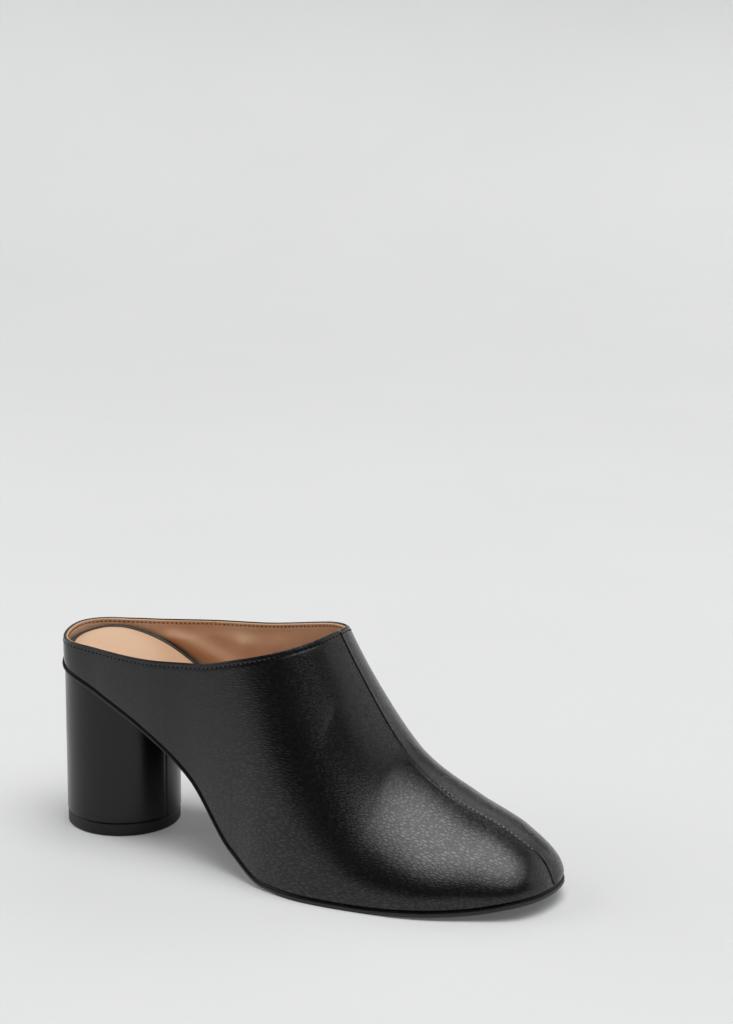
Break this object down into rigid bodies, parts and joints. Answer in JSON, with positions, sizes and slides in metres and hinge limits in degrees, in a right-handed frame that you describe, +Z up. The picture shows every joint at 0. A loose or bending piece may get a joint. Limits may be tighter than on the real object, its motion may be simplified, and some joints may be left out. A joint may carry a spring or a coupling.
{
  "type": "heeled clog",
  "caption": "Slip-on heeled clog for the right foot: open-backed leather upper with a centre vamp seam, thin sole, tan footbed and a round leather-covered heel.",
  "frame": {"origin": "on the floor under the middle of the shoe's bounding box", "axes": "+X towards the toe, +Y towards the inner (big toe) side of the right foot, +Z up"},
  "size_m": [0.2338, 0.0836, 0.1012],
  "materials": {
    "upper_leather": "black full-grain leather, fine pebble grain, satin gloss",
    "sole_rubber": "black, smooth edge, satin",
    "insole_leather": "light tan smooth leather, matte",
    "heel_leather": "black leather covering, smooth, satin gloss",
    "top_piece_rubber": "black rubber, matte"
  },
  "bodies": {
    "root": {"upper": "upper_leather", "outsole": "sole_rubber", "insole": "insole_leather", "heel_block": "heel_leather", "heel_top_piece": "top_piece_rubber"}
  },
  "joints": []
}
